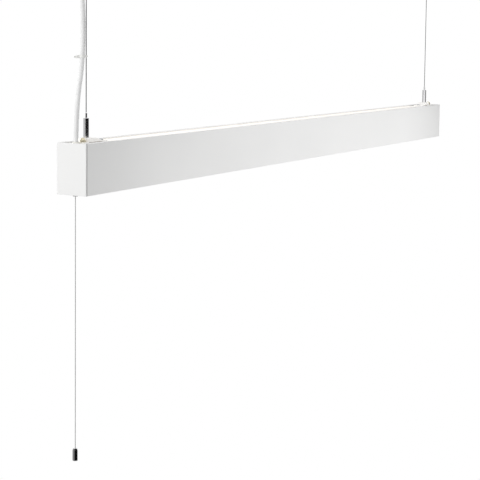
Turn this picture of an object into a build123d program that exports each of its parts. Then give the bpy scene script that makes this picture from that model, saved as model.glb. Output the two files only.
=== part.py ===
from build123d import *
import math
import os

# A linear office pendant light: a white extruded housing that hangs on two steel wires, with an uplight,
# a downlight and a pull-cord switch at one end. All sizes are in millimetres.
# The origin is on the ceiling over the middle of the lamp. +X runs along the lamp away from the switch
# end, -Y is the front, +Z points up into the ceiling.

# Fits
thread_play = 0.05
slip = 0.1
play = 0.3

# Lamp as a whole
length = 1500.0
width = 55.0
height = 80.0
drop = 300.0
hang_inset = 38.0

# Housing extrusion
wall = 1.8
lip = 8.0
groove = 2.4
rib = 1.5
rib_reach = 4.0
profile_edge = 0.4
port_radius = 3.2
port_hole = 1.6
port_from_side = 4.0
port_from_shelf = 2.6
bay_length = 57.0

# End caps
cap_face = 2.3
cap_pad = 0.7
cap_inset = 1.2
cap_chamfer = 0.4
peg_length = 10.0

# Plates and diffusers that slide into the housing's grooves
plate_thickness = 2.0
plate_margin = 2.0
diffuser_thickness = 2.0
diffuser_gap = 0.5

# LED boards, LEDs and driver
board_count = 3
board_end_gap = 29.0
board_width = 20.0
board_thickness = 1.6
board_gap = 1.0
led_pitch = 20.0
led_length = 3.5
led_width = 2.8
led_height = 0.8
driver_length = 280.0
driver_width = 30.0
driver_height = 21.0
driver_headroom = 3.4
driver_gap = 10.0
driver_ear = 10.0
driver_ear_thickness = 1.6
driver_screw_radius = 1.5
driver_screw_head = 2.8
driver_screw_head_height = 1.8
driver_screw_length = 3.2

# Terminal blocks: the one in the lamp and the one in the ceiling canopy
lamp_block_length = 24.0
lamp_block_width = 20.0
lamp_block_height = 15.0
lamp_block_from_bay = 6.0
lamp_block_entry = 9.0
canopy_block_length = 18.0
canopy_block_width = 16.0
canopy_block_height = 10.0
canopy_block_x = 17.0
canopy_block_y = -9.0

# Ceiling canopies
canopy_radius = 35.0
canopy_height = 26.0
canopy_wall = 1.5
canopy_round = 3.0
base_radius = 31.0
base_thickness = 2.5
screw_hole_radius = 2.25
screw_hole_spacing = 44.0
boss_radius = 5.0
boss_length = 32.0
boss_bore = 2.6
boss_bore_depth = 20.0
ring_radius = 8.5
ring_height = 5.0
ring_chamfer = 0.6
supply_hole_radius = 4.0
supply_hole_x = 17.0
supply_hole_y = 10.0
ferrule_radius = 2.3
ferrule_length = 9.0

# Suspension wires
wire_radius = 0.75
wire_guide = 1.2

# Mains cable, as points from the canopy down into the lamp: across from the near wire, then height over
# the housing's top
cable_radius = 3.6
cable_points = (
    (-16.0, 4.0, 288.0),
    (-16.0, 4.0, 262.0),
    (-2.8, 4.4, 224.0),
    (-0.8, 4.9, 128.0),
    (-26.5, 0.0, 52.0),
    (-26.5, 0.0, -22.0),
)
bend_share = 0.45

# Cable bush in the near canopy and gland in the lamp's top plate
bush_flange_radius = 6.5
bush_flange_height = 2.5
bush_radius = 5.0
bush_inner_height = 2.0
gland_flange_radius = 5.8
gland_flange_height = 3.4
gland_chamfer = 1.0
gland_radius = 4.8
gland_length = 9.0
gland_nut_flats = 13.0
gland_nut_height = 4.0

# Cable tie round the mains cable and the near wire
tie_height = 132.0
tie_width = 3.6
tie_thickness = 1.1
tie_slack = 0.5
tie_head_length = 5.5
tie_head_width = 5.0
tie_head_height = 4.8
tie_tail = 3.5

# Cores from the mains cable to the lamp's terminal block
core_radius = 1.1
core_spacing = 2.3
core_entry_spacing = 5.0
core_turn_depth = 32.0
core_run_in = 16.0

# Suspension brackets, measured from the gripper axis, inboard positive
bracket_thickness = 2.0
bracket_width = 20.0
bracket_rise = 6.0
bracket_outer_end = 20.0
bracket_riser = 8.0
bracket_top_end = 12.0
bracket_slope = 20.0
bracket_inner_end = 46.0
bracket_bend = 1.5
bracket_corner = 3.0
bracket_side = 1.5
bracket_side_gap = 1.7
stud_x = -15.5
stud_y = -5.0
stud_radius = 2.5
stud_length = 5.0
stud_head_radius = 4.0
stud_head_height = 1.5
dome_flats = 8.0
dome_hex_height = 3.6
dome_radius = 3.8
foot_screw_x = 39.5
foot_screw_radius = 2.0
foot_screw_head = 3.5
foot_screw_head_height = 2.6
foot_screw_length = 7.0
foot_screw_round = 1.2
foot_socket_flats = 2.5
foot_socket_depth = 1.5

# Wire grippers, measured up from the bracket's top
gripper_radius = 4.5
gripper_height = 31.0
gripper_chamfer = 0.6
gripper_base_height = 3.0
gripper_plug_height = 4.0
gripper_stud_radius = 3.0
gripper_stud_length = 5.8
gripper_wall = 1.2
cone_low = 24.0
cone_high = 28.0
cone_high_radius = 2.2
lock_nut_flats = 10.0
lock_nut_height = 3.2
plunger_radius = 1.6
plunger_bore = 0.95
plunger_top = 39.5
plunger_taper = 1.2
plunger_tip_radius = 1.2
cage_radius = 2.0
cage_top = 27.6
cage_flange_radius = 2.9
cage_flange_low = 18.0
cage_flange_high = 20.0
ball_count = 3
ball_radius = 1.1
ball_gap = 0.02
ball_height = 24.8
ball_hole_radius = 1.2
plunger_spring_radius = 2.4
plunger_spring_wire = 0.25
plunger_spring_turns = 5

# Pull switch, measured from the cord axis
cord_from_end = 10.5
cord_radius = 0.75
switch_outer_side = 6.9
switch_inner_side = 28.5
switch_half_width = 11.0
switch_height = 30.0
switch_wall = 1.5
switch_lid = 1.3
slider_half_length = 4.0
slider_half_width = 4.5
slider_height = 9.0
slider_bore = 0.85
tongue_half_width = 1.5
tongue_end = 9.0
guide_thickness = 1.5
guide_start = 5.2
knot_radius = 1.9
knot_pocket_radius = 2.1
knot_pocket_depth = 4.0
lug_end = 11.9
lug_half_width = 1.5
lug_half_height = 3.0
pull_travel = 10.0
crank_radius = 10.0
crank_x = 17.5
crank_pin_radius = 1.2
crank_slot_play = 0.2
crank_slot_end = 0.4
crank_arm_half_width = 2.0
crank_near = 2.0
crank_far = 4.5
crank_hub_radius = 3.0
crank_hub_far = 6.0
crank_tail = 8.0
axle_radius = 1.5
contact_thickness = 0.8
contact_width = 5.0
contact_height = 8.0
contact_spacing = 7.0
return_spring_radius = 2.6
return_spring_wire = 0.3
return_spring_turns = 6

# Cord bush, pull cord and toggle
cord_bush_radius = 3.5
cord_bush_flange = 4.2
cord_bush_below = 2.2
cord_bush_inside = 1.6
cord_bush_throat = 1.1
cord_bush_mouth = 3.2
cord_bend_gap = 0.05
cord_hang = 397.5
toggle_radius = 4.4
toggle_height = 19.5
toggle_shoulder = 3.0
toggle_top_radius = 3.1
toggle_chamfer = 0.6
toggle_pocket_radius = 2.6
toggle_pocket_depth = 8.0
toggle_knot_radius = 2.2

# Positions that follow from the sizes above
top = -drop
bottom = top - height
half = length / 2
hang_x = half - hang_inset
cap_depth = cap_face + cap_pad
body_end = half - cap_depth
inner_width = width - 2 * wall
plate_length = body_end - hang_x + bracket_inner_end + plate_margin
plate_top = top - wall
plate_under = plate_top - plate_thickness
floor_under = bottom + wall
floor_top = floor_under + plate_thickness
shelf_depth = (height - 2 * wall - driver_height - driver_headroom) / 2
upper_shelf = top - shelf_depth
lower_shelf = bottom + shelf_depth
chamber_floor = lower_shelf + wall
cord_x = -half + cord_from_end
near_x = -hang_x
cable_x = near_x + cable_points[-1][0]
cable_y = cable_points[-1][1]
board_room = 2 * (body_end - bay_length - board_end_gap)
board_length = (board_room - (board_count - 1) * board_gap) / board_count
block_x = -body_end + bay_length + lamp_block_from_bay
driver_start = block_x + lamp_block_length + driver_gap + driver_ear
driver_x = (driver_start, driver_start + driver_length)
driver_screw_places = (driver_x[0] - driver_ear / 2, driver_x[1] + driver_ear / 2)


def save(name, *solids):
    """One node: a single solid, or a group of separate ones."""
    shape = solids[0] if len(solids) == 1 else Compound(children=list(solids))
    export_step(shape, f"parts/{name}.step")


def block(x, y, z):
    """A box between pairs of limits."""
    size = [high - low for low, high in (x, y, z)]
    middle = [(high + low) / 2 for low, high in (x, y, z)]
    return Pos(*middle) * Box(*size)


def rod(radius, low, high, x=0.0, y=0.0):
    """An upright cylinder between two heights."""
    return Pos(x, y, (low + high) / 2) * Cylinder(radius, high - low)


def outline(points):
    """A face in the XZ plane."""
    return make_face(Polyline(*[(x, 0, z) for x, z in points], close=True).edges())


def turned(*points):
    """A turned piece about Z, from its half section as radius and height."""
    return revolve(outline(points), axis=Axis.Z)


def hexagon(flats, low, high):
    """An upright hexagonal bar of a given size across flats."""
    return Pos(0, 0, low) * extrude(RegularPolygon(flats / math.sqrt(3), 6), high - low)


def bend_radii(points):
    """A bend radius for each inner point, as large as its two runs allow."""
    radii = []
    for a, b, c in zip(points, points[1:], points[2:]):
        before = Vector(*b) - Vector(*a)
        after = Vector(*c) - Vector(*b)
        half_turn = math.radians(before.get_angle(after)) / 2
        radii.append(bend_share * min(before.length, after.length) / math.tan(half_turn))
    return radii


def cord(name, points, radius):
    """A round cord on straight runs joined by tangent arcs, and its centre line."""
    radii = bend_radii(points)
    path = FilletPolyline(*points, radius=radii)
    solid = sweep(Plane(path @ 0, z_dir=path % 0) * Circle(radius), path=path)
    share = solid.volume / (math.pi * radius**2 * path.length)
    whole_radii = [round(r) for r in radii]
    print(name, "length", round(path.length, 1), "radii", whole_radii, "volume share", round(share, 4))
    return solid, path


def spring(name, radius, wire, turns, low, high):
    """A compression spring that fills the space between two heights."""
    rise = high - low - 2 * wire
    pitch = rise / turns
    path = Pos(0, 0, low + wire) * Helix(pitch, rise, radius)
    solid = sweep(Plane(path @ 0, z_dir=path % 0) * Circle(wire), path=path, is_frenet=True)
    share = solid.volume / (math.pi * wire**2 * path.length)
    print(name, "gap between turns", round(pitch - 2 * wire, 2), "volume share", round(share, 4))
    return solid


def hang(shape, side):
    """Moves a piece drawn about the near gripper axis to the near (-1) or far (1) suspension point."""
    drawn = shape if side < 0 else mirror(shape, about=Plane.YZ)
    return Pos(side * hang_x, 0, top) * drawn


os.makedirs("parts", exist_ok=True)
ends = {"near": -1, "far": 1}

# Ceiling canopies: a screwed base with a hollow boss, a cup over it and a ring nut that holds the cup
bush_x, bush_y = cable_points[0][:2]
rings, ferrules = [], []
for end, side in ends.items():
    base = turned(
        (boss_bore, 0),
        (base_radius, 0),
        (base_radius, -base_thickness),
        (boss_radius, -base_thickness),
        (boss_radius, -boss_length),
        (wire_guide, -boss_length),
        (wire_guide, -boss_bore_depth),
        (boss_bore, -boss_bore_depth),
    )
    for y in (-screw_hole_spacing / 2, screw_hole_spacing / 2):
        base -= rod(screw_hole_radius, -base_thickness, 0, 0, y)
    if side < 0:
        base -= rod(supply_hole_radius, -base_thickness, 0, supply_hole_x, supply_hole_y)
    cup = rod(canopy_radius, -canopy_height, 0)
    cup = fillet(cup.edges().group_by(Axis.Z)[0], canopy_round)
    inside = rod(canopy_radius - canopy_wall, -canopy_height + canopy_wall, 0)
    cup -= fillet(inside.edges().group_by(Axis.Z)[0], canopy_round - canopy_wall)
    cup -= rod(boss_radius + slip, -canopy_height, 0)
    if side < 0:
        cup -= rod(bush_radius + slip, -canopy_height, -canopy_height + canopy_wall, bush_x, bush_y)
    ring = rod(ring_radius, -canopy_height - ring_height, -canopy_height)
    ring = chamfer(ring.edges(), ring_chamfer)
    ring -= rod(boss_radius + thread_play, -canopy_height - ring_height, -canopy_height)
    ferrule = rod(ferrule_radius, -boss_bore_depth, -boss_bore_depth + ferrule_length)
    ferrule -= rod(wire_radius + thread_play, -boss_bore_depth, -boss_bore_depth + ferrule_length)
    place = Pos(side * hang_x, 0, 0)
    rings.append(place * ring)
    ferrules.append(place * ferrule)
    save(f"canopy_base_{end}", place * base)
    save(f"canopy_cover_{end}", place * cup)
save("canopy_ring_nuts", *rings)
save("wire_ferrules", *ferrules)

# Bush where the mains cable enters the near canopy
cable_hole = cable_radius + slip
cover_under = -canopy_height
cover_inside = cover_under + canopy_wall
canopy_bush = turned(
    (cable_hole, cover_under - bush_flange_height),
    (bush_flange_radius, cover_under - bush_flange_height),
    (bush_flange_radius, cover_under),
    (bush_radius, cover_under),
    (bush_radius, cover_inside),
    (bush_flange_radius, cover_inside),
    (bush_flange_radius, cover_inside + bush_inner_height),
    (cable_hole, cover_inside + bush_inner_height),
)
save("canopy_cable_bush", Pos(near_x + bush_x, bush_y, 0) * canopy_bush)

# Terminal block inside the near canopy
canopy_block = Pos(near_x + canopy_block_x, canopy_block_y, -base_thickness - canopy_block_height / 2) * Box(
    canopy_block_length, canopy_block_width, canopy_block_height
)
save("canopy_terminal_block", canopy_block)

# Suspension wires, from their ferrules down into the grippers
bracket_top = top + bracket_rise
wire_low = bracket_top - gripper_stud_length / 2
wire_high = -boss_bore_depth + ferrule_length
for end, side in ends.items():
    save(f"suspension_wire_{end}", rod(wire_radius, wire_low, wire_high, side * hang_x))

# Mains cable
route = [(near_x + x, y, top + z) for x, y, z in cable_points]
cable, cable_path = cord("mains_cable", route, cable_radius)
save("mains_cable", cable)

# Cable tie: its strap lies round the near wire and the cable where the cable passes the tie's height
low_share, high_share = 0.0, 1.0
for _ in range(40):
    middle_share = (low_share + high_share) / 2
    if (cable_path @ middle_share).Z > top + tie_height:
        low_share = middle_share
    else:
        high_share = middle_share
held = cable_path @ low_share
reach = math.hypot(held.X - near_x, held.Y)
turn = math.degrees(math.atan2(held.Y, held.X - near_x))


def tie_hull(extra):
    """The loop round both cords, grown by a distance."""
    round_wire = Circle(wire_radius + slip + extra)
    round_cable = Pos(reach, 0) * Circle(cable_radius + tie_slack + extra)
    return make_hull([*round_wire.edges(), *round_cable.edges()])


strap = extrude(tie_hull(tie_thickness) - tie_hull(0), tie_width / 2, both=True)
head_start = reach + cable_radius + tie_slack
head_end = head_start + tie_head_length
tie = strap + block(
    (head_start, head_end),
    (-tie_head_width / 2, tie_head_width / 2),
    (-tie_head_height / 2, tie_head_height / 2),
)
tie += block(
    (head_end, head_end + tie_tail), (-tie_thickness / 2, tie_thickness / 2), (-tie_width / 2, tie_width / 2)
)
save("cable_tie", Pos(near_x, 0, top + tie_height) * Rot(0, 0, turn) * tie)

# Housing: two side walls with lips and grooves at the top and bottom, two shelves and four ports
section = Sketch()
for s in (-1, 1):
    section += Pos(s * (width - wall) / 2, top - height / 2) * Rectangle(wall, height)
    for edge, inward in ((top, -1), (bottom, 1)):
        lip_z = edge + inward * wall / 2
        rib_z = edge + inward * (wall + groove + rib / 2)
        section += Pos(s * (width - lip) / 2, lip_z) * Rectangle(lip, wall)
        section += Pos(s * (width - rib_reach) / 2, rib_z) * Rectangle(rib_reach, rib)
port_y = width / 2 - port_from_side
ports = [
    (s * port_y, z)
    for s in (-1, 1)
    for z in (upper_shelf - wall - port_from_shelf, chamber_floor + port_from_shelf)
]
for shelf_z in (upper_shelf - wall / 2, lower_shelf + wall / 2):
    section += Pos(0, shelf_z) * Rectangle(width, wall)
for y, z in ports:
    section += Pos(y, z) * Circle(port_radius)
for y, z in ports:
    section -= Pos(y, z) * Circle(port_hole)
start = Plane(origin=(-body_end, 0, 0), x_dir=(0, 1, 0), z_dir=(1, 0, 0))
housing = extrude(start * section, 2 * body_end)
long_edges = housing.edges().filter_by(Axis.X)
for z in (0, -1):
    level = long_edges.group_by(Axis.Z)[z].sort_by(Axis.Y)
    housing = fillet([level[0], level[-1]], profile_edge)
    long_edges = housing.edges().filter_by(Axis.X)
bay = (-body_end, -body_end + bay_length)
inner = (-inner_width / 2, inner_width / 2)
housing -= block(bay, inner, (upper_shelf - wall, upper_shelf))
housing -= block(bay, inner, (lower_shelf, chamber_floor))
for x in driver_screw_places:
    housing -= rod(driver_screw_radius + thread_play, lower_shelf, chamber_floor, x)
save("housing_profile", housing)

# End caps: a plate that shows, a smaller pad that leaves a shadow line, and pegs that push into the ports
for end, side in ends.items():
    plate = block((-cap_face, 0), (-width / 2, width / 2), (bottom, top))
    plate = chamfer(plate.edges(), cap_chamfer)
    pad_y = width / 2 - cap_inset
    plate += block((0, cap_pad), (-pad_y, pad_y), (bottom + cap_inset, top - cap_inset))
    for y, z in ports:
        peg = Plane(origin=(cap_pad, y, z), z_dir=(1, 0, 0)) * Circle(port_hole - slip)
        plate += extrude(peg, peg_length)
    drawn = plate if side < 0 else mirror(plate, about=Plane.YZ)
    save(f"end_cap_{end}", Pos(side * (half - cap_face), 0, 0) * drawn)

# Plates in the top groove that carry the suspension, and the bottom plate that carries the switch
plate_half = inner_width / 2 - play
plate_x = (-body_end, -body_end + plate_length)
for end, side in ends.items():
    plate = block(plate_x, (-plate_half, plate_half), (plate_under, plate_top))
    plate -= rod(stud_radius + slip, plate_under, plate_top, near_x + stud_x, stud_y)
    plate -= rod(foot_screw_radius + thread_play, plate_under, plate_top, near_x + foot_screw_x)
    if side < 0:
        plate -= rod(gland_radius + slip, plate_under, plate_top, cable_x, cable_y)
    drawn = plate if side < 0 else mirror(plate, about=Plane.YZ)
    save(f"top_end_plate_{end}", drawn)
floor_plate = block(plate_x, (-plate_half, plate_half), (floor_under, floor_top))
floor_plate -= rod(cord_bush_radius + slip, floor_under, floor_top, cord_x)
save("bottom_end_plate", floor_plate)

# Diffusers: the upper one lies on the ribs, the lower one on the bottom lips
diffuser_end = body_end - plate_length - diffuser_gap
rib_top = plate_top - groove
diffuser_y = (-plate_half, plate_half)
uplight_z = (rib_top, rib_top + diffuser_thickness)
save("uplight_diffuser", block((-diffuser_end, diffuser_end), diffuser_y, uplight_z))
save(
    "downlight_diffuser",
    block((-diffuser_end, body_end), diffuser_y, (floor_under, floor_under + diffuser_thickness)),
)

# LED boards on both shelves, each with a row of LEDs
for name, shelf_z, out in (("uplight", upper_shelf, 1), ("downlight", lower_shelf, -1)):
    boards, leds = [], []
    board_z = sorted((shelf_z, shelf_z + out * board_thickness))
    led_z = sorted((shelf_z + out * board_thickness, shelf_z + out * (board_thickness + led_height)))
    for i in range(board_count):
        middle = (i - (board_count - 1) / 2) * (board_length + board_gap)
        board_x = (middle - board_length / 2, middle + board_length / 2)
        boards.append(block(board_x, (-board_width / 2, board_width / 2), board_z))
        per_board = int(board_length / led_pitch)
        for k in range(per_board):
            x = middle + (k - (per_board - 1) / 2) * led_pitch
            led_x = (x - led_length / 2, x + led_length / 2)
            leds.append(block(led_x, (-led_width / 2, led_width / 2), led_z))
    save(f"{name}_led_boards", *boards)
    save(f"{name}_leds", *leds)

# Driver on the lower shelf, held by a screw through each ear
driver_y = (-driver_width / 2, driver_width / 2)
driver = block(driver_x, driver_y, (chamber_floor, chamber_floor + driver_height))
ear_top = chamber_floor + driver_ear_thickness
driver += block((driver_x[0] - driver_ear, driver_x[1] + driver_ear), driver_y, (chamber_floor, ear_top))
screws = []
for x in driver_screw_places:
    driver -= rod(driver_screw_radius + slip, chamber_floor, ear_top, x)
    screw = rod(driver_screw_radius, ear_top - driver_screw_length, ear_top, x)
    screws.append(screw + rod(driver_screw_head, ear_top, ear_top + driver_screw_head_height, x))
save("led_driver", driver)
save("driver_screws", *screws)

# Terminal block on the lower shelf behind the switch bay, and the cores that reach it from the cable
lamp_block = block(
    (block_x, block_x + lamp_block_length),
    (-lamp_block_width / 2, lamp_block_width / 2),
    (chamber_floor, chamber_floor + lamp_block_height),
)
save("lamp_terminal_block", lamp_block)
cores = []
cable_end = route[-1][2]
entry_z = chamber_floor + lamp_block_entry
for i in (-1, 0, 1):
    core_points = [
        (cable_x, i * core_spacing, cable_end),
        (cable_x, i * core_spacing, top - core_turn_depth),
        (block_x - core_run_in, i * core_entry_spacing, entry_z),
        (block_x, i * core_entry_spacing, entry_z),
    ]
    cores.append(cord(f"lamp core {i}", core_points, core_radius)[0])
save("lamp_cores", *cores)

# Cable gland in the near top plate
gland_low = plate_top - gland_length
gland = turned(
    (cable_hole, gland_low),
    (gland_radius, gland_low),
    (gland_radius, plate_top),
    (gland_flange_radius, plate_top),
    (gland_flange_radius, plate_top + gland_flange_height - gland_chamfer),
    (gland_flange_radius - gland_chamfer, plate_top + gland_flange_height),
    (cable_hole, plate_top + gland_flange_height),
)
save("cable_gland", Pos(cable_x, cable_y, 0) * gland)
gland_nut = hexagon(gland_nut_flats, plate_under - gland_nut_height, plate_under)
gland_nut -= rod(gland_radius + thread_play, plate_under - gland_nut_height, plate_under)
save("cable_gland_nut", Pos(cable_x, cable_y, 0) * gland_nut)

# Suspension bracket: a pressed bridge that stands on the top plate, with its sides turned down
foot_low = -wall
foot_high = foot_low + bracket_thickness
bracket_low = bracket_rise - bracket_thickness
foot_middle = (foot_low + foot_high) / 2
bridge_middle = (bracket_low + bracket_rise) / 2
riser_middle = -bracket_riser + bracket_thickness / 2
fold = FilletPolyline(
    (-bracket_outer_end, 0, foot_middle),
    (riser_middle, 0, foot_middle),
    (riser_middle, 0, bridge_middle),
    (bracket_top_end, 0, bridge_middle),
    (bracket_top_end + bracket_slope, 0, foot_middle),
    (bracket_inner_end, 0, foot_middle),
    radius=bracket_bend,
)
strip = Plane(fold @ 0, x_dir=(0, 1, 0), z_dir=fold % 0) * Rectangle(bracket_width, bracket_thickness)
bracket = sweep(strip, path=fold)
upright = bracket.edges().filter_by(Axis.Z).group_by(Axis.X)
bracket = fillet([*upright[0], *upright[-1]], bracket_corner)
side_low = foot_low + bracket_side_gap
side_end = bracket_top_end + bracket_slope * (bridge_middle - side_low) / (bridge_middle - foot_middle)
side_outline = outline((
    (riser_middle, side_low),
    (riser_middle, bridge_middle),
    (bracket_top_end, bridge_middle),
    (side_end, side_low),
))
turned_down = extrude(side_outline, bracket_side, dir=(0, 1, 0))
for side_y in (-bracket_width / 2, bracket_width / 2 - bracket_side):
    bracket += Pos(0, side_y, 0) * turned_down
bracket -= rod(gripper_stud_radius + slip, bracket_low, bracket_rise)
bracket -= rod(stud_radius + slip, foot_low, foot_high, stud_x, stud_y)
bracket -= rod(foot_screw_radius + slip, foot_low, foot_high, foot_screw_x)

# What fastens the bracket: a headed stud with a dome nut outboard, a screw in the inboard foot
plate_low = foot_low - plate_thickness
stud = rod(stud_radius, plate_low, foot_high + stud_length, stud_x, stud_y)
stud += rod(stud_head_radius, plate_low - stud_head_height, plate_low, stud_x, stud_y)
dome_body = hexagon(dome_flats, 0, dome_hex_height)
dome_body += Pos(0, 0, dome_hex_height) * Sphere(dome_radius, arc_size1=0, align=Align.NONE)
dome_body -= rod(stud_radius + thread_play, 0, stud_length + slip)
dome = Pos(stud_x, stud_y, foot_high) * dome_body
foot_screw = rod(foot_screw_head, 0, foot_screw_head_height)
foot_screw = fillet(foot_screw.edges().group_by(Axis.Z)[-1], foot_screw_round)
foot_screw -= hexagon(foot_socket_flats, foot_screw_head_height - foot_socket_depth, foot_screw_head_height)
foot_screw += rod(foot_screw_radius, -foot_screw_length, 0)
foot_screw = Pos(foot_screw_x, 0, foot_high) * foot_screw

# Wire gripper: a body with a conical seat on a screwed base, a lock nut, and a plunger that holds balls
cavity = gripper_radius - gripper_wall
gripper_body = turned(
    (cavity, gripper_base_height),
    (gripper_radius, gripper_base_height),
    (gripper_radius, gripper_height - gripper_chamfer),
    (gripper_radius - gripper_chamfer, gripper_height),
    (plunger_radius + slip, gripper_height),
    (plunger_radius + slip, cone_high),
    (cone_high_radius, cone_high),
    (cavity, cone_low),
)
plug_top = gripper_base_height + gripper_plug_height
gripper_base = turned(
    (wire_guide, -gripper_stud_length),
    (gripper_stud_radius, -gripper_stud_length),
    (gripper_stud_radius, 0),
    (gripper_radius - gripper_chamfer, 0),
    (gripper_radius, gripper_chamfer),
    (gripper_radius, gripper_base_height),
    (cavity - thread_play, gripper_base_height),
    (cavity - thread_play, plug_top),
    (wire_guide, plug_top),
)
lock_nut = hexagon(lock_nut_flats, -bracket_thickness - lock_nut_height, -bracket_thickness)
lock_nut -= rod(gripper_stud_radius + thread_play, -bracket_thickness - lock_nut_height, -bracket_thickness)
plunger = turned(
    (plunger_bore, cage_flange_low),
    (cage_flange_radius, cage_flange_low),
    (cage_flange_radius, cage_flange_high),
    (cage_radius, cage_flange_high),
    (cage_radius, cage_top),
    (plunger_radius, cage_top),
    (plunger_radius, plunger_top - plunger_taper),
    (plunger_tip_radius, plunger_top),
    (plunger_bore, plunger_top),
)
balls = []
for i in range(ball_count):
    around = Rot(0, 0, i * 360 / ball_count)
    hole = Pos(cage_radius, 0, ball_height) * Rot(0, 90, 0) * Cylinder(ball_hole_radius, 2 * cage_radius)
    plunger -= around * hole
    balls.append(around * Pos(wire_radius + ball_gap + ball_radius, 0, ball_height) * Sphere(ball_radius))
plunger_coil = spring(
    "plunger spring",
    plunger_spring_radius,
    plunger_spring_wire,
    plunger_spring_turns,
    plug_top,
    cage_flange_low,
)

studs, domes, foot_screws, lock_nuts = [], [], [], []
for end, side in ends.items():
    lifted = Pos(0, 0, bracket_rise)
    save(f"suspension_bracket_{end}", hang(bracket, side))
    save(f"gripper_body_{end}", hang(lifted * gripper_body, side))
    save(f"gripper_base_{end}", hang(lifted * gripper_base, side))
    save(f"release_plunger_{end}", hang(lifted * plunger, side))
    save(f"gripper_balls_{end}", *[hang(lifted * ball, side) for ball in balls])
    save(f"plunger_spring_{end}", hang(lifted * plunger_coil, side))
    studs.append(hang(stud, side))
    domes.append(hang(dome, side))
    foot_screws.append(hang(foot_screw, side))
    lock_nuts.append(hang(lifted * lock_nut, side))
save("bracket_studs", *studs)
save("bracket_dome_nuts", *domes)
save("bracket_screws", *foot_screws)
save("gripper_lock_nuts", *lock_nuts)

# Pull switch: an open case with an axle and guides for the slider, a lid, and two contacts
case_low = floor_top
case_high = case_low + switch_height
case_x = (cord_x - switch_outer_side, cord_x + switch_inner_side)
case_y = (-switch_half_width, switch_half_width)
case = block(case_x, case_y, (case_low, case_high))
case -= block(
    (case_x[0] + switch_wall, case_x[1] - switch_wall),
    (-switch_half_width, switch_half_width - switch_wall),
    (case_low + switch_wall, case_high - switch_wall),
)
case -= rod(cord_bush_radius + slip, case_low, case_low + switch_wall, cord_x)
back = switch_half_width - switch_wall
slider_high = case_high - switch_wall - play
slider_low = slider_high - slider_height
slot_z = (slider_high + slider_low) / 2
pivot_z = slot_z - pull_travel / 2
pivot_x = cord_x + crank_x
axle = Plane(origin=(pivot_x, crank_near, pivot_z), z_dir=(0, 1, 0)) * Circle(axle_radius)
case += extrude(axle, back - crank_near)
guide_x = tongue_half_width + play
for s in (-1, 1):
    guide = sorted((cord_x + s * guide_x, cord_x + s * (guide_x + guide_thickness)))
    case += block(guide, (guide_start, back), (case_low + switch_wall, case_high - switch_wall))
save("switch_case", case)
lid_y = (-switch_half_width - switch_lid, -switch_half_width)
save("switch_lid", block(case_x, lid_y, (case_low, case_high)))
contacts = []
contact_x = (case_x[1] - switch_wall - contact_thickness, case_x[1] - switch_wall)
contact_z = (case_low + switch_wall, case_low + switch_wall + contact_height)
for s in (-1, 1):
    contact_y = s * contact_spacing / 2
    across = (contact_y - contact_width / 2, contact_y + contact_width / 2)
    contacts.append(block(contact_x, across, contact_z))
save("switch_contacts", *contacts)

# Slider: a block with a tongue between the guides, a pocket for the cord's knot and a lug with a crank slot
rest_angle = math.asin(pull_travel / 2 / crank_radius)
pin_x = pivot_x - crank_radius * math.cos(rest_angle)
slot_x = (
    pivot_x - crank_radius - crank_pin_radius - crank_slot_end,
    pin_x + crank_pin_radius + crank_slot_end,
)
slot_half = crank_pin_radius + crank_slot_play
slider = block(
    (cord_x - slider_half_length, cord_x + slider_half_length),
    (-slider_half_width, slider_half_width),
    (slider_low, slider_high),
)
slider += block(
    (cord_x - tongue_half_width, cord_x + tongue_half_width),
    (slider_half_width, tongue_end),
    (slider_low, slider_high),
)
lug = block(
    (cord_x + slider_half_length, cord_x + lug_end),
    (-lug_half_width, lug_half_width),
    (slot_z - lug_half_height, slot_z + lug_half_height),
)
lug -= block(slot_x, (-lug_half_width, lug_half_width), (slot_z - slot_half, slot_z + slot_half))
slider += lug
slider -= rod(slider_bore, slider_low, slider_high, cord_x)
slider -= rod(knot_pocket_radius, slider_high - knot_pocket_depth, slider_high, cord_x)
save("pull_slider", slider)

# Rocker on the axle: its pin rides in the slider's slot and turns it as the cord is pulled
arm_length = crank_radius + crank_arm_half_width
arm_middle = (crank_tail - arm_length) / 2
rocker = Pos(0, (crank_near + crank_hub_far) / 2, 0) * Rot(90, 0, 0) * Cylinder(
    crank_hub_radius, crank_hub_far - crank_near
)
rocker += Pos(arm_middle, (crank_near + crank_far) / 2, 0) * Box(
    arm_length + crank_tail, crank_far - crank_near, 2 * crank_arm_half_width
)
pin_reach = crank_far + lug_half_width
crank_pin = Rot(90, 0, 0) * Cylinder(crank_pin_radius, pin_reach)
rocker += Pos(-crank_radius, crank_far - pin_reach / 2, 0) * crank_pin
rocker -= Rot(90, 0, 0) * Cylinder(axle_radius + thread_play, 2 * crank_hub_far)
save("contact_rocker", Pos(pivot_x, 0, pivot_z) * Rot(0, math.degrees(rest_angle), 0) * rocker)

# Cord bush: a flanged guide through the bottom plate with a flared mouth
bend_z = bottom
mouth_z = bottom - cord_bush_below
bush_high = case_low + switch_wall + cord_bush_inside
cord_bush = turned(
    (cord_bush_throat, bend_z),
    (cord_bush_mouth, mouth_z),
    (cord_bush_flange, mouth_z),
    (cord_bush_flange, floor_under),
    (cord_bush_radius, floor_under),
    (cord_bush_radius, bush_high),
    (cord_bush_throat, bush_high),
)
save("cord_bush", Pos(cord_x, 0, 0) * cord_bush)
return_coil = spring(
    "return spring", return_spring_radius, return_spring_wire, return_spring_turns, bush_high, slider_low
)
save("return_spring", Pos(cord_x, 0, 0) * return_coil)

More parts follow.
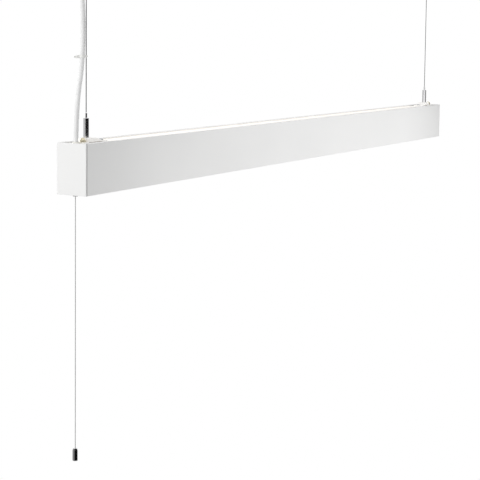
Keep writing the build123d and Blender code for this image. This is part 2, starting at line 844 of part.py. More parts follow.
# Pull cord: a knotted stretch inside, the bend in the bush's throat, and the stretch that hangs free
knot_z = slider_high - knot_pocket_depth + knot_radius
inner_cord = rod(cord_radius, bend_z + cord_radius + cord_bend_gap, knot_z)
inner_cord += Pos(0, 0, knot_z) * Sphere(knot_radius)
save("pull_cord_inner", Pos(cord_x, 0, 0) * inner_cord)
save("pull_cord_bend", Pos(cord_x, 0, bend_z) * Sphere(cord_radius))
toggle_high = bottom - cord_hang
toggle_low = toggle_high - toggle_height
pocket_z = toggle_low + toggle_pocket_depth
end_knot_z = pocket_z - toggle_knot_radius
hanging_cord = rod(cord_radius, end_knot_z, bend_z - cord_radius - cord_bend_gap)
hanging_cord += Pos(0, 0, end_knot_z) * Sphere(toggle_knot_radius)
save("pull_cord", Pos(cord_x, 0, 0) * hanging_cord)
print("pull cord free length", round(bend_z - end_knot_z, 1))

# Toggle on the cord's end
toggle = turned(
    (cord_radius + slip, toggle_high),
    (toggle_top_radius, toggle_high),
    (toggle_radius, toggle_high - toggle_shoulder),
    (toggle_radius, toggle_low + toggle_chamfer),
    (toggle_radius - toggle_chamfer, toggle_low),
    (toggle_pocket_radius, toggle_low),
    (toggle_pocket_radius, pocket_z),
    (cord_radius + slip, pocket_z),
)
save("pull_toggle", Pos(cord_x, 0, 0) * toggle)
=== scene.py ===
import math

import bpy
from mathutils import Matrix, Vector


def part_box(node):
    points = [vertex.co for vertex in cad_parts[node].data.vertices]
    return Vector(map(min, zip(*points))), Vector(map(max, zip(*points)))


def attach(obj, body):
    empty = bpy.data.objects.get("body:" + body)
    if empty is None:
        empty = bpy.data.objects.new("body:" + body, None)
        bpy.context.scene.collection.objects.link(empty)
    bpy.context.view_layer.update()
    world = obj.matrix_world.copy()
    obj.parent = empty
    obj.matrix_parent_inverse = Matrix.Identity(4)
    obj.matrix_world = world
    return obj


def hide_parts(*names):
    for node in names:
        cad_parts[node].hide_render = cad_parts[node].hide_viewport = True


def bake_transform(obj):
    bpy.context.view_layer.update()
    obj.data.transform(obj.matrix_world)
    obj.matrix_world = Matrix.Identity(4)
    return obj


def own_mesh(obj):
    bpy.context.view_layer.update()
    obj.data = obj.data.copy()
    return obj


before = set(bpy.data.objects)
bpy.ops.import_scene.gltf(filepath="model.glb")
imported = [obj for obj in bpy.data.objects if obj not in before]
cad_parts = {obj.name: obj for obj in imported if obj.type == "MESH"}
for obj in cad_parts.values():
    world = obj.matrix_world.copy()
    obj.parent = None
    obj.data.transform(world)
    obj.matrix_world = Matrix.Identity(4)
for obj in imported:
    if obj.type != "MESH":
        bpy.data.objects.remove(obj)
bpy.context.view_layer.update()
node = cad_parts
bpy.ops.object.select_all(action="DESELECT")

# Camera
# A long lens beyond the switch end, a little over the lamp's top. The frame is shifted down, so that the
# wires and the pull cord stay upright.
camera_place = (-2.3509, -1.1905, -0.1352)
camera_turn = [math.radians(angle) for angle in (85.198, -0.642, -60.698)]
bpy.ops.object.camera_add(location=camera_place, rotation=camera_turn)
camera = bpy.context.object
camera.data.sensor_width = 36.0
camera.data.lens = 97.91
camera.data.shift_y = -0.1957
camera.data.clip_end = 60.0
bpy.context.scene.camera = camera
bpy.context.scene.view_settings.view_transform = "Standard"

# White room
# The world around the lamp. It is white to the eye and in reflections, so that metal shows a white studio,
# and it lights the pieces evenly at a softer level.
room_light = 0.445
room_white = (1.0, 1.0, 1.0, 1.0)
world = bpy.data.worlds.new("white_room")
world.use_nodes = True
bpy.context.scene.world = world
room = world.node_tree
room.nodes.clear()
path = room.nodes.new("ShaderNodeLightPath")
seen = path.outputs["Is Camera Ray"]
for ray in ("Is Glossy Ray", "Is Transmission Ray"):
    either = room.nodes.new("ShaderNodeMath")
    either.operation = "MAXIMUM"
    room.links.new(seen, either.inputs[0])
    room.links.new(path.outputs[ray], either.inputs[1])
    seen = either.outputs[0]
soft = room.nodes.new("ShaderNodeBackground")
soft.inputs["Color"].default_value = room_white
soft.inputs["Strength"].default_value = room_light
white = room.nodes.new("ShaderNodeBackground")
white.inputs["Color"].default_value = room_white
chooser = room.nodes.new("ShaderNodeMixShader")
room.links.new(seen, chooser.inputs["Fac"])
room.links.new(soft.outputs[0], chooser.inputs[1])
room.links.new(white.outputs[0], chooser.inputs[2])
room_out = room.nodes.new("ShaderNodeOutputWorld")
room.links.new(chooser.outputs[0], room_out.inputs["Surface"])

# Studio lamps
# A broad lamp beyond the switch end lights the end cap, and another the top. A softened spot lights the front
# from its middle to its far end.


def aimed(name, kind, place, aim, watts):
    """A lamp that points at a place and isn't seen itself."""
    bpy.ops.object.light_add(type=kind, location=place)
    lamp = bpy.context.object
    lamp.name = name
    lamp.data.energy = watts
    lamp.visible_camera = False
    lamp.visible_glossy = False
    facing = Vector(aim) - Vector(place)
    lamp.rotation_euler = facing.to_track_quat("-Z", "Y").to_euler()
    return lamp.data


end_lamp = aimed("end_lamp", "AREA", place=(-3.2, 0.9, 0.4), aim=(-0.75, 0.0, -0.34), watts=53.0)
end_lamp.size = 2.2
top_lamp = aimed("top_lamp", "AREA", place=(0.0, 0.3, 1.7), aim=(0.0, 0.0, -0.30), watts=16.0)
top_lamp.size = 2.4
front_lamp = aimed("front_lamp", "SPOT", place=(0.40, -1.58, -0.22), aim=(0.09, 0.0, -0.34), watts=46.0)
front_lamp.shadow_soft_size = 0.25
front_lamp.spot_size = math.radians(58.6)
front_lamp.spot_blend = 0.36

# Floor
# A pale disc far under the lamp. It takes the lamp's shadow in its middle and fades to white at its rim. From
# under it the eye looks through it.
floor_height = -1.9
floor_radius = 2.0
floor_pale = (0.93, 0.93, 0.93, 1.0)
paint_in_middle = 0.55
bpy.ops.mesh.primitive_circle_add(
    vertices=96, radius=floor_radius, fill_type="NGON", location=(0.0, 0.0, floor_height)
)
floor = bpy.context.object
floor.name = "floor"
floor_paint = bpy.data.materials.new("pale_floor")
floor_paint.use_nodes = True
tree = floor_paint.node_tree
matt = tree.nodes["Principled BSDF"]
matt.inputs["Base Color"].default_value = floor_pale
matt.inputs["Roughness"].default_value = 0.9
glow = tree.nodes.new("ShaderNodeEmission")
rim = tree.nodes.new("ShaderNodeTexGradient")
rim.gradient_type = "SPHERICAL"
spread_out = tree.nodes.new("ShaderNodeMapping")
spread_out.inputs["Scale"].default_value = (1 / floor_radius, 1 / floor_radius, 1.0)
coordinates = tree.nodes.new("ShaderNodeTexCoord")
tree.links.new(coordinates.outputs["Object"], spread_out.inputs["Vector"])
tree.links.new(spread_out.outputs["Vector"], rim.inputs["Vector"])
paint_share = tree.nodes.new("ShaderNodeMath")
paint_share.operation = "MULTIPLY"
paint_share.inputs[1].default_value = paint_in_middle
tree.links.new(rim.outputs["Fac"], paint_share.inputs[0])
fade = tree.nodes.new("ShaderNodeMixShader")
tree.links.new(paint_share.outputs[0], fade.inputs["Fac"])
tree.links.new(glow.outputs[0], fade.inputs[1])
tree.links.new(matt.outputs[0], fade.inputs[2])
clear = tree.nodes.new("ShaderNodeBsdfTransparent")
face = tree.nodes.new("ShaderNodeNewGeometry")
one_way = tree.nodes.new("ShaderNodeMixShader")
tree.links.new(face.outputs["Backfacing"], one_way.inputs["Fac"])
tree.links.new(fade.outputs[0], one_way.inputs[1])
tree.links.new(clear.outputs[0], one_way.inputs[2])
tree.links.new(one_way.outputs[0], tree.nodes["Material Output"].inputs["Surface"])
floor.data.materials.append(floor_paint)

# Dark screens
# Curved strips of felt that stand about half a metre off and are seen only in reflections. They shade softly
# from grey to black and give the grippers and the toggle their dark sides, as a photographer's flags do.
screen_distance = 0.45
screen_steps = 72
wire_x = 0.712
cord_x = -0.7395


def dark_screen(name, middle, heights, tones):
    """A strip of felt round a place in plan. `tones` gives its shade at angles from +X in degrees."""
    first, last = tones[0][0], tones[-1][0]
    bpy.ops.mesh.primitive_grid_add(x_subdivisions=screen_steps, y_subdivisions=1, size=1.0)
    screen = bpy.context.object
    screen.name = name
    for vertex in screen.data.vertices:
        angle = math.radians(first + (last - first) * (vertex.co.x + 0.5))
        x = middle[0] + screen_distance * math.cos(angle)
        y = middle[1] + screen_distance * math.sin(angle)
        z = heights[0] + (heights[1] - heights[0]) * (vertex.co.y + 0.5)
        vertex.co = (x, y, z)
    felt = bpy.data.materials.new(f"{name}_felt")
    felt.use_nodes = True
    # The felt only darkens reflections, so it isn't sampled as a lamp.
    felt.cycles.emission_sampling = "NONE"
    nodes, links = felt.node_tree.nodes, felt.node_tree.links
    along = nodes.new("ShaderNodeTexCoord")
    split = nodes.new("ShaderNodeSeparateXYZ")
    shade = nodes.new("ShaderNodeValToRGB")
    shade.color_ramp.interpolation = "EASE"
    for _ in tones[2:]:
        shade.color_ramp.elements.new(0.5)
    for stop, (angle, level) in zip(shade.color_ramp.elements, tones):
        stop.position = (angle - first) / (last - first)
        stop.color = (level, level, level, 1.0)
    tone = nodes.new("ShaderNodeEmission")
    links.new(along.outputs["UV"], split.inputs["Vector"])
    links.new(split.outputs["X"], shade.inputs["Fac"])
    links.new(shade.outputs["Color"], tone.inputs["Color"])
    links.new(tone.outputs[0], nodes["Material Output"].inputs["Surface"])
    screen.data.materials.append(felt)
    for ray in ("camera", "diffuse", "transmission", "shadow", "volume_scatter"):
        setattr(screen, f"visible_{ray}", False)


dark_screen(
    "screen_near",
    middle=(-wire_x, 0.0),
    heights=(-0.332, -0.262),
    tones=((184.0, 0.20), (194.0, 0.012), (333.0, 0.012), (345.0, 0.80)),
)
dark_screen(
    "screen_near_left",
    middle=(-wire_x, 0.0),
    heights=(-0.332, -0.268),
    tones=((70.0, 0.90), (82.0, 0.55), (166.0, 0.55), (184.0, 0.20)),
)
dark_screen(
    "screen_far",
    middle=(wire_x, 0.0),
    heights=(-0.325, -0.06),
    tones=((262.0, 1.0), (278.0, 0.05), (377.0, 0.05), (388.0, 0.42), (493.0, 0.42), (509.0, 1.0)),
)
dark_screen(
    "screen_toggle",
    middle=(cord_x, 0.0),
    heights=(-1.50, -0.50),
    tones=((52.0, 1.0), (68.0, 0.33), (150.0, 0.24), (212.0, 0.002), (310.0, 0.002), (332.0, 1.0)),
)

# Ceiling canopies
# Two deep-drawn steel cups, powder coated white, slide up over zinc-plated bases that are screwed to the
# ceiling. A chromed ring nut on the base's post holds each cup. The near one also holds a terminal block and
# the cable's bush, which are moulded.


def new_finish(name, roughness, metallic=0.0):
    """A material and its shader, with the values that are the same all over the surface."""
    material = bpy.data.materials.new(name)
    material.use_nodes = True
    shader = material.node_tree.nodes["Principled BSDF"]
    shader.inputs["Roughness"].default_value = roughness
    shader.inputs["Metallic"].default_value = metallic
    return material, shader


def grain(material, scale, stretch=(1.0, 1.0, 1.0)):
    """Noise over a piece, with about `scale` grains to the metre, squeezed along its axes by `stretch`."""
    nodes, links = material.node_tree.nodes, material.node_tree.links
    where = nodes.new("ShaderNodeTexCoord")
    squeeze = nodes.new("ShaderNodeMapping")
    squeeze.inputs["Scale"].default_value = stretch
    noise = nodes.new("ShaderNodeTexNoise")
    noise.inputs["Scale"].default_value = scale
    noise.inputs["Detail"].default_value = 3.0
    links.new(where.outputs["Object"], squeeze.inputs["Vector"])
    links.new(squeeze.outputs["Vector"], noise.inputs["Vector"])
    return noise.outputs["Fac"]


def tint(material, shader, factor, dark, light, low=0.3, high=0.7):
    """The base colour runs from dark to light as the factor goes from low to high."""
    ramp = material.node_tree.nodes.new("ShaderNodeValToRGB")
    ramp.color_ramp.elements[0].position = low
    ramp.color_ramp.elements[0].color = (*dark, 1.0)
    ramp.color_ramp.elements[1].position = high
    ramp.color_ramp.elements[1].color = (*light, 1.0)
    material.node_tree.links.new(factor, ramp.inputs["Fac"])
    material.node_tree.links.new(ramp.outputs["Color"], shader.inputs["Base Color"])


def sheen_range(material, shader, factor, smooth, rough):
    """The roughness varies between two values."""
    span = material.node_tree.nodes.new("ShaderNodeMapRange")
    span.inputs["From Min"].default_value = 0.25
    span.inputs["From Max"].default_value = 0.75
    span.inputs["To Min"].default_value = smooth
    span.inputs["To Max"].default_value = rough
    material.node_tree.links.new(factor, span.inputs["Value"])
    material.node_tree.links.new(span.outputs["Result"], shader.inputs["Roughness"])


def relief(material, shader, depth, *factors):
    """Fine relief of a given depth in metres, from one or more factors on top of each other."""
    under = None
    for factor in factors:
        bump = material.node_tree.nodes.new("ShaderNodeBump")
        bump.inputs["Strength"].default_value = 1.0
        bump.inputs["Distance"].default_value = depth
        material.node_tree.links.new(factor, bump.inputs["Height"])
        if under is not None:
            material.node_tree.links.new(under, bump.inputs["Normal"])
        under = bump.outputs["Normal"]
    material.node_tree.links.new(under, shader.inputs["Normal"])


def dress(material, *names):
    """Puts a finish on CAD pieces."""
    for name in names:
        node[name].data.materials.clear()
        node[name].data.materials.append(material)


def powder_coat(name, dark, light):
    """White powder coat: an orange-peel skin with fine grit and a satin gloss."""
    material, shader = new_finish(name, 0.42)
    peel = grain(material, 420.0)
    grit = grain(material, 1900.0)
    tint(material, shader, grain(material, 9.0), dark, light)
    sheen_range(material, shader, peel, smooth=0.36, rough=0.48)
    relief(material, shader, 0.00003, peel, grit)
    return material


white_cup = powder_coat("white_cup_coat", (0.84, 0.84, 0.83), (0.87, 0.87, 0.86))
dress(white_cup, "canopy_cover_near", "canopy_cover_far")


def plated(name, dark, light, smooth, rough, grains, turned=1.0):
    """Plated metal. `turned` squeezes the grain along Z into the fine rings that a lathe leaves."""
    material, shader = new_finish(name, smooth, 1.0)
    lines = grain(material, grains, (1.0, 1.0, turned))
    cloud = grain(material, 160.0)
    tint(material, shader, cloud, dark, light)
    sheen_range(material, shader, lines, smooth, rough)
    relief(material, shader, 0.000004, lines)
    return material


zinc = plated(
    "zinc_plate", (0.52, 0.53, 0.55), (0.66, 0.67, 0.68), smooth=0.28, rough=0.46, grains=900.0
)
chrome = plated(
    "turned_chrome", (0.80, 0.80, 0.81), (0.86, 0.86, 0.87), smooth=0.05, rough=0.1, grains=350.0, turned=24.0
)
dress(zinc, "canopy_base_near", "canopy_base_far", "wire_ferrules")
dress(chrome, "canopy_ring_nuts")


def moulded(name, dark, light, roughness):
    """Moulded plastic with a fine spark-eroded skin."""
    material, shader = new_finish(name, roughness)
    skin = grain(material, 2400.0)
    tint(material, shader, grain(material, 60.0), dark, light)
    sheen_range(material, shader, skin, roughness - 0.06, roughness + 0.08)
    relief(material, shader, 0.00002, skin)
    return material


white_plastic = moulded("white_plastic", (0.80, 0.80, 0.78), (0.85, 0.85, 0.83), roughness=0.45)
dress(white_plastic, "canopy_cable_bush", "canopy_terminal_block")

# Suspension wires
# Stranded steel rope, six strands laid round a seventh. Each hangs from a pressed ferrule in its canopy and
# is pulled straight by the lamp, down into its gripper.
wire_top, wire_end = -0.011, -0.2969
wire_steps = 170
outer_strands = 6
strand_radius = 0.00025
rope_lay = 0.011


def route(name, points, resolution):
    """A route's smooth line: its points are the control points of one open spline."""
    line = bpy.data.curves.new(name, "CURVE")
    line.dimensions = "3D"
    line.resolution_u = resolution
    spline = line.splines.new("NURBS")
    spline.points.add(len(points) - 1)
    for control, point in zip(spline.points, points):
        control.co = (*point, 1.0)
    spline.order_u = 3
    spline.use_endpoint_u = True
    return line


def read_line(line):
    """The points along a route's line, from its first point to its last."""
    holder = bpy.data.objects.new("route", line)
    bpy.context.scene.collection.objects.link(holder)
    mesh = bpy.data.meshes.new_from_object(holder)
    points = [vertex.co.copy() for vertex in mesh.vertices]
    bpy.data.objects.remove(holder)
    bpy.data.meshes.remove(mesh)
    return points


def upright_line(name, x, top, end, steps):
    """The line of a piece that hangs straight down, at a place along the lamp."""
    quarter = (end - top) / 4
    heights = (top, top + quarter, end - quarter, end)
    return read_line(route(name, [(x, 0.0, z) for z in heights], steps))


def made_mesh(name, curve):
    """A curve with thickness as a smooth mesh."""
    piece = bpy.data.objects.new(name, curve)
    bpy.context.scene.collection.objects.link(piece)
    bpy.ops.object.select_all(action="DESELECT")
    piece.select_set(True)
    bpy.context.view_layer.objects.active = piece
    bpy.ops.object.convert(target="MESH")
    bpy.ops.object.shade_smooth()
    return bpy.context.object


def laid(name, line, radius, strands):
    """Round strands along an upright line. Each strand gives its distance and angle from the line."""
    curve = bpy.data.curves.new(name, "CURVE")
    curve.dimensions = "3D"
    curve.bevel_depth = radius
    curve.bevel_resolution = 1
    curve.use_fill_caps = True
    for strand in strands:
        spline = curve.splines.new("POLY")
        spline.points.add(len(line) - 1)
        for control, point in zip(spline.points, line):
            out, angle = strand((line[0] - point).length)
            control.co = (point.x + out * math.cos(angle), point.y + out * math.sin(angle), point.z, 1.0)
    return made_mesh(name, curve)


def straight(along):
    """The strand in the middle keeps to the line."""
    return 0.0, 0.0


def rope_strand(phase):
    """An outer strand of the rope, laid round the middle one."""

    def strand(along):
        return 2 * strand_radius, 2 * math.pi * along / rope_lay + phase

    return strand


rope_steel, shader = new_finish("rope_steel", 0.3, 1.0)
streaks = grain(rope_steel, 900.0, (1.0, 1.0, 0.15))
tint(rope_steel, shader, streaks, (0.10, 0.10, 0.105), (0.22, 0.22, 0.23))
sheen_range(rope_steel, shader, grain(rope_steel, 2500.0), smooth=0.24, rough=0.42)
relief(rope_steel, shader, 0.00001, grain(rope_steel, 9000.0, (1.0, 1.0, 0.2)))
for end, x in (("near", -wire_x), ("far", wire_x)):
    wire_line = upright_line(f"wire_{end}", x, wire_top, wire_end, wire_steps)
    rope = [straight] + [rope_strand(2 * math.pi * turn / outer_strands) for turn in range(outer_strands)]
    wire = laid(f"steel_rope_{end}", wire_line, strand_radius, rope)
    wire.data.materials.append(rope_steel)
    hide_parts(f"suspension_wire_{end}")
    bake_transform(wire)

# Mains cable
# Round white PVC cable with three cores, from the bush in the near canopy down beside the wire and through
# the gland into the lamp.
cable_radius = 0.0036
cable_steps = 40
cable_points = (
    (-0.7280, 0.0040, -0.0120),
    (-0.7280, 0.0040, -0.0380),
    (-0.7148, 0.0044, -0.0760),
    (-0.7128, 0.0049, -0.1720),
    (-0.7385, 0.0000, -0.2480),
    (-0.7385, 0.0000, -0.3220),
)
cable_line = read_line(route("cable_route", cable_points, cable_steps))
cable_curve = route("cable", cable_points, cable_steps)
cable_curve.bevel_depth = cable_radius
cable_curve.bevel_resolution = 8
cable_curve.use_fill_caps = True
cable = made_mesh("mains_sheath", cable_curve)
pvc, shader = new_finish("white_pvc", 0.4)
tint(pvc, shader, grain(pvc, 45.0), (0.80, 0.80, 0.80), (0.85, 0.85, 0.85))
sheen_range(pvc, shader, grain(pvc, 500.0, (1.0, 1.0, 0.1)), smooth=0.34, rough=0.48)
waves = grain(pvc, 130.0, (1.0, 1.0, 0.6))
drawn_lines = grain(pvc, 1800.0, (1.0, 1.0, 0.1))
relief(pvc, shader, 0.00004, waves, drawn_lines)
cable.data.materials.append(pvc)
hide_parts("mains_cable")
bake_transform(cable)

# Cable tie
# A moulded nylon strap that holds the cable to the near wire. Its toothed tail is pulled through the head and
# cut off short beside it.
tie_height = -0.168
tie_tilt = math.radians(4.0)
strap_width, strap_thickness = 0.0036, 0.0011
rope_radius = 3 * strand_radius
wire_clear, cable_clear = 0.0001, 0.0004
square_on = 0.9
held = min(cable_line, key=lambda point: abs(point.z - tie_height))
reach = math.hypot(held.x + wire_x, held.y)
heading = math.atan2(held.y, held.x + wire_x)


def pick_faces(piece, wanted):
    """Goes into edit mode with only the wanted faces selected."""
    bpy.ops.object.mode_set(mode="EDIT")
    bpy.ops.mesh.select_mode(type="FACE")
    bpy.ops.mesh.select_all(action="DESELECT")
    bpy.ops.object.mode_set(mode="OBJECT")
    for face in piece.data.polygons:
        face.select = wanted(face)
    bpy.ops.object.mode_set(mode="EDIT")


bpy.ops.object.select_all(action="DESELECT")
bpy.ops.mesh.primitive_cylinder_add(vertices=32, radius=rope_radius + wire_clear, depth=strap_width)
strap = bpy.context.object
strap.name = "nylon_tie"
bpy.ops.object.mode_set(mode="EDIT")
bpy.ops.mesh.primitive_cylinder_add(
    vertices=64, radius=cable_radius + cable_clear, depth=strap_width, location=(reach, 0.0, 0.0)
)
bpy.ops.mesh.select_all(action="SELECT")
bpy.ops.mesh.convex_hull()
pick_faces(strap, lambda face: abs(face.normal.z) > square_on)
bpy.ops.mesh.delete(type="FACE")
bpy.ops.mesh.select_all(action="SELECT")
bpy.ops.mesh.normals_make_consistent(inside=False)
bpy.ops.object.mode_set(mode="OBJECT")
wall = strap.modifiers.new("wall", "SOLIDIFY")
wall.thickness = strap_thickness
wall.offset = 1.0
bpy.ops.object.modifier_apply(modifier="wall")


def bevelled_block(name, size, place, edge, window=None):
    """A moulded block with rounded edges. `window` gives the rim and depth of a window in its +X end."""
    bpy.ops.object.select_all(action="DESELECT")
    bpy.ops.mesh.primitive_cube_add(size=1.0, location=place, scale=size)
    bpy.ops.object.transform_apply(location=True, scale=True)
    piece = bpy.context.object
    piece.name = name
    if window:
        rim, depth = window
        pick_faces(piece, lambda face: face.normal.x > square_on)
        bpy.ops.mesh.inset(thickness=rim)
        bpy.ops.mesh.extrude_region_move(TRANSFORM_OT_translate={"value": (-depth, 0.0, 0.0)})
        bpy.ops.object.mode_set(mode="OBJECT")
    rounding = piece.modifiers.new("rounding", "BEVEL")
    rounding.width = edge
    rounding.segments = 3
    rounding.limit_method = "ANGLE"
    bpy.ops.object.modifier_apply(modifier="rounding")
    return piece


def joined(whole, *pieces):
    """Joins pieces to the first, which keeps its name."""
    bpy.ops.object.select_all(action="DESELECT")
    for piece in (whole, *pieces):
        piece.select_set(True)
    bpy.context.view_layer.objects.active = whole
    bpy.ops.object.join()
    return bpy.context.object


head_start = reach + cable_radius + cable_clear
head_length, head_width, head_height = 0.0055, 0.0050, 0.0048
head_rounding = 0.0003
window_rim, window_depth = 0.0009, 0.0007
head = bevelled_block(
    "tie_head",
    (head_length, head_width, head_height),
    (head_start + head_length / 2, 0.0, 0.0),
    head_rounding,
    (window_rim, window_depth),
)
tail_free, tail_in_head = 0.0035, 0.0018
tail_length = tail_free + tail_in_head
tail_thickness, tail_width = 0.0011, 0.0030
tail_rounding = 0.0002
tail_start = head_start + head_length - tail_in_head
tail = bevelled_block(
    "tie_tail",
    (tail_length, tail_thickness, tail_width),
    (tail_start + tail_length / 2, 0.0, 0.0),
    tail_rounding,
)
tooth_count = 4
tooth_pitch, tooth_margin = 0.0009, 0.0004
tooth_length, tooth_depth, tooth_width = 0.00045, 0.0005, 0.0022
tooth_rounding = 0.00012
first_tooth = head_start + head_length + tooth_margin
teeth = [
    bevelled_block(
        "tie_tooth",
        (tooth_length, tooth_depth, tooth_width),
        (first_tooth + step * tooth_pitch, tail_thickness / 2, 0.0),
        tooth_rounding,
    )
    for step in range(tooth_count)
]
tie = joined(strap, head, tail, *teeth)
tie.rotation_euler = (0.0, tie_tilt, heading)
tie.location = (-wire_x, 0.0, tie_height)
bpy.ops.object.transform_apply(location=True, rotation=True)
bpy.ops.object.shade_smooth_by_angle(angle=math.radians(35.0))
nylon = moulded("natural_nylon", (0.84, 0.84, 0.82), (0.90, 0.90, 0.88), roughness=0.38)
tie.data.materials.append(nylon)
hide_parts("cable_tie")
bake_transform(tie)

# Housing
# An extruded aluminium profile with two shelves inside, powder coated white over the faint lines of the die,
# then sawn to length. Its sawn ends are painted near black, a painted shade that draws the dark shadow line
# beside the cast end caps that close it. Steel plates fill the ends of its openings.
housing_coat, shader = new_finish("housing_coat", 0.42)
peel = grain(housing_coat, 420.0)
die_lines = grain(housing_coat, 700.0, (0.01, 1.0, 1.0))
tint(housing_coat, shader, grain(housing_coat, 7.0), (0.85, 0.85, 0.845), (0.87, 0.87, 0.865))
sheen_range(housing_coat, shader, peel, smooth=0.36, rough=0.46)
relief(housing_coat, shader, 0.00002, die_lines, peel, grain(housing_coat, 1900.0))
dress(housing_coat, "housing_profile")
# Painted shade: the sawn end faces are near black to darken the shadow line; bare aluminium is far lighter.
sawn_end_painted_shade, shader = new_finish("sawn_end_painted_shade", 0.6)
saw_marks = grain(sawn_end_painted_shade, 1500.0, (1.0, 1.0, 0.05))
tint(sawn_end_painted_shade, shader, saw_marks, (0.09, 0.09, 0.09), (0.14, 0.14, 0.14))
sheen_range(sawn_end_painted_shade, shader, saw_marks, smooth=0.5, rough=0.7)
relief(sawn_end_painted_shade, shader, 0.00002, saw_marks)
profile = node["housing_profile"].data
profile.materials.append(sawn_end_painted_shade)
sawn_at = max(vertex.co.x for vertex in profile.vertices)
sawn_reach = 0.0001
for face in profile.polygons:
    if abs(face.center.x) > sawn_at - sawn_reach:
        face.material_index = 1
cap_coat = powder_coat("end_cap_coat", (0.85, 0.85, 0.845), (0.87, 0.87, 0.865))
dress(cap_coat, "end_cap_near", "end_cap_far")
plate_coat = powder_coat("end_plate_coat", (0.84, 0.84, 0.83), (0.87, 0.87, 0.86))
dress(plate_coat, "top_end_plate_near", "top_end_plate_far", "bottom_end_plate")

# Diffusers
# Opal acrylic sheets that slide into the profile's grooves, one up and one down, with a satin face. The lamp
# is on, so they glow warm.
opal_light = (1.0, 0.93, 0.85, 1.0)
glow_change = 0.1


def opal_sheet(name, glow):
    """Lit opal acrylic, a little brighter in some places than in others."""
    material, shader = new_finish(name, 0.4)
    cloud = grain(material, 30.0)
    tint(material, shader, cloud, (0.57, 0.565, 0.55), (0.61, 0.605, 0.59))
    sheen_range(material, shader, grain(material, 800.0), smooth=0.32, rough=0.46)
    relief(material, shader, 0.00002, grain(material, 2600.0))
    shader.inputs["Emission Color"].default_value = opal_light
    level = material.node_tree.nodes.new("ShaderNodeMapRange")
    level.inputs["To Min"].default_value = glow * (1 - glow_change)
    level.inputs["To Max"].default_value = glow * (1 + glow_change)
    material.node_tree.links.new(cloud, level.inputs["Value"])
    material.node_tree.links.new(level.outputs["Result"], shader.inputs["Emission Strength"])
    return material


dress(opal_sheet("lit_opal_up", glow=0.52), "uplight_diffuser")
dress(opal_sheet("lit_opal_down", glow=0.60), "downlight_diffuser")

# Light boards
# Aluminium boards, three on each shelf, that shine up and down. Copper tracks show faintly along them under
# the white solder resist, and a row of yellow light packages is soldered to each.
board, shader = new_finish("white_resist", 0.38)
tracks = grain(board, 500.0, (0.02, 1.0, 1.0))
tint(board, shader, tracks, (0.70, 0.66, 0.58), (0.88, 0.88, 0.86), low=0.34, high=0.40)
sheen_range(board, shader, grain(board, 1500.0), smooth=0.3, rough=0.45)
relief(board, shader, 0.00003, tracks)
dress(board, "uplight_led_boards", "downlight_led_boards")
phosphor, shader = new_finish("yellow_phosphor", 0.3)
tint(phosphor, shader, grain(phosphor, 2200.0), (0.82, 0.62, 0.14), (0.90, 0.76, 0.30))
sheen_range(phosphor, shader, grain(phosphor, 3000.0), smooth=0.22, rough=0.4)
relief(phosphor, shader, 0.00002, grain(phosphor, 5000.0))
dress(phosphor, "uplight_leds", "downlight_leds")

# Driver and wiring
# The driver is a white plastic box screwed to the lower shelf. Three insulated cores run from the mains
# cable to a terminal block beside it.
driver_case = moulded("driver_case", (0.78, 0.78, 0.76), (0.84, 0.84, 0.82), roughness=0.5)
dress(driver_case, "led_driver", "lamp_terminal_block")
dress(zinc, "driver_screws")
core, shader = new_finish("core_insulation", 0.4)
tint(core, shader, grain(core, 90.0), (0.72, 0.71, 0.68), (0.82, 0.81, 0.78))
sheen_range(core, shader, grain(core, 800.0), smooth=0.34, rough=0.48)
relief(core, shader, 0.00002, grain(core, 1500.0))
dress(core, "lamp_cores")

# Cable gland
# A moulded plastic gland in the near top plate, where the cable goes into the lamp. It has a low collar on
# the plate and a nut under it.
gland_plastic = moulded("gland_plastic", (0.80, 0.79, 0.74), (0.85, 0.84, 0.79), roughness=0.42)
dress(gland_plastic, "cable_gland", "cable_gland_nut")

# Suspension brackets
# Pressed steel bridges with their sides turned down, powder coated white, that carry the grippers. Their
# coat is painted whiter than the housing and given a faint warm glow, as painted light for the lamp's own
# light falling on them. A stud with a nickel-plated dome nut holds the outer end of each, and a screw the
# inner end.
# Painted glow: the coat emits a faint warm light, though the bracket is no lamp.
painted_glow_colour = (1.0, 0.93, 0.87, 1.0)
painted_glow_strength = 0.14
bracket_coat_painted_glow = powder_coat("bracket_coat_painted_glow", (0.90, 0.895, 0.88), (0.93, 0.925, 0.91))
shader = bracket_coat_painted_glow.node_tree.nodes["Principled BSDF"]
shader.inputs["Emission Color"].default_value = painted_glow_colour
shader.inputs["Emission Strength"].default_value = painted_glow_strength
dress(bracket_coat_painted_glow, "suspension_bracket_near", "suspension_bracket_far")
nickel = plated(
    "polished_nickel", (0.72, 0.655, 0.49), (0.84, 0.765, 0.575), smooth=0.20, rough=0.30, grains=700.0
)
dress(nickel, "bracket_dome_nuts")
dress(zinc, "bracket_studs", "bracket_screws")

# Wire grippers
# Turned brass bodies, chrome plated, on screwed bases with a lock nut under the bracket. A sprung plunger
# holds three balls on the wire, and lets it go when it is pressed.
dress(chrome, "gripper_body_near", "gripper_body_far", "gripper_base_near", "gripper_base_far")
dress(chrome, "release_plunger_near", "release_plunger_far")
dress(zinc, "gripper_lock_nuts", "gripper_balls_near", "gripper_balls_far")
spring_steel = plated(
    "spring_steel", (0.40, 0.40, 0.41), (0.55, 0.55, 0.56), smooth=0.2, rough=0.34, grains=1400.0
)


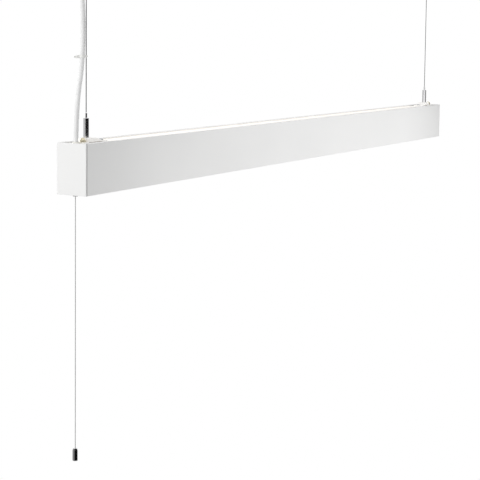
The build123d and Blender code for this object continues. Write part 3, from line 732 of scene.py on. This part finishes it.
def coil_spring(name, stands_for, radius, wire, turns):
    """A compression spring with closed ends, as long as the CAD one."""
    low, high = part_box(stands_for)
    middle = (low + high) / 2
    rise = high.z - low.z - 2 * wire
    bpy.ops.object.select_all(action="DESELECT")
    ends = []
    for height in (0.0, rise):
        bpy.ops.mesh.primitive_torus_add(
            major_radius=radius,
            minor_radius=wire,
            major_segments=40,
            minor_segments=10,
            location=(0.0, 0.0, height),
        )
        ends.append(bpy.context.object)
    bpy.ops.mesh.primitive_circle_add(
        vertices=10, radius=wire, location=(radius, 0.0, 0.0), rotation=(math.pi / 2, 0.0, 0.0)
    )
    spring = bpy.context.object
    bpy.ops.object.transform_apply(location=True, rotation=True)
    winding = spring.modifiers.new("winding", "SCREW")
    winding.screw_offset = rise / turns
    winding.iterations = turns
    winding.steps = winding.render_steps = 32
    bpy.ops.object.modifier_apply(modifier="winding")
    spring = joined(spring, *ends)
    bpy.ops.object.mode_set(mode="EDIT")
    bpy.ops.mesh.select_all(action="SELECT")
    bpy.ops.mesh.fill_holes(sides=0)
    bpy.ops.mesh.select_all(action="SELECT")
    bpy.ops.mesh.normals_make_consistent(inside=False)
    bpy.ops.transform.translate(value=(middle.x, middle.y, low.z + wire))
    bpy.ops.object.mode_set(mode="OBJECT")
    bpy.ops.object.shade_smooth()
    spring.name = name
    spring.data.materials.append(spring_steel)
    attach(spring, "luminaire")
    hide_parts(stands_for)
    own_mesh(spring)


for end in ("near", "far"):
    coil_spring(
        f"plunger_coil_{end}",
        f"plunger_spring_{end}",
        radius=0.0024,
        wire=0.00025,
        turns=5,
    )

# Pull switch
# A moulded box on the bottom plate. The cord pulls a slider down against a spring, and the slider turns a
# rocker onto two brass contacts. A turned bush, nickel plated, guides the cord out of the plate.
dress(white_plastic, "switch_case", "switch_lid")
grey_plastic = moulded("grey_plastic", (0.30, 0.31, 0.33), (0.36, 0.37, 0.39), roughness=0.5)
dress(grey_plastic, "pull_slider", "contact_rocker")
brass = plated(
    "rolled_brass", (0.62, 0.45, 0.18), (0.74, 0.56, 0.26), smooth=0.2, rough=0.32, grains=900.0
)
dress(brass, "switch_contacts")
coil_spring(
    "return_coil",
    "return_spring",
    radius=0.0026,
    wire=0.0003,
    turns=6,
)
bush_metal = plated(
    "bush_nickel", (0.38, 0.38, 0.38), (0.48, 0.48, 0.48), smooth=0.18, rough=0.3, grains=500.0, turned=12.0
)
dress(bush_metal, "cord_bush")

# Pull cord and toggle
# Braided nylon cord, four strands each way over a core, knotted in the switch's slider and inside the turned
# and chromed toggle.
cord_top, cord_end = -0.3808, -0.7912
cord_steps = 410
braid_lay = 0.008
strands_each_way = 4
braid_radius, braid_wave, ply_radius = 0.00040, 0.00014, 0.00021
core_radius = 0.00030
core_every = 8


def braid_strand(way, phase):
    """A strand that winds one way and goes over and under the strands that wind the other way."""

    def strand(along):
        angle = 2 * math.pi * along / braid_lay
        return braid_radius + way * braid_wave * math.cos(strands_each_way * angle), way * angle + phase

    return strand


cord_line = upright_line("pull_route", cord_x, cord_top, cord_end, cord_steps)
braid = [
    braid_strand(way, 2 * math.pi * turn / strands_each_way)
    for way in (-1, 1)
    for turn in range(strands_each_way)
]
pull = laid("braided_cord", cord_line, ply_radius, braid)
middle = laid("cord_middle", cord_line[::core_every] + cord_line[-1:], core_radius, [straight])
pull = joined(pull, middle)
nylon_cord, shader = new_finish("cord_nylon", 0.55)
tint(nylon_cord, shader, grain(nylon_cord, 1800.0), (0.42, 0.42, 0.42), (0.58, 0.58, 0.58))
sheen_range(nylon_cord, shader, grain(nylon_cord, 4000.0), smooth=0.45, rough=0.65)
relief(nylon_cord, shader, 0.00002, grain(nylon_cord, 9000.0, (1.0, 1.0, 0.3)))
pull.data.materials.append(nylon_cord)
dress(nylon_cord, "pull_cord_inner", "pull_cord_bend")
dress(chrome, "pull_toggle")
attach(pull, "cord_and_toggle")
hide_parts("pull_cord")
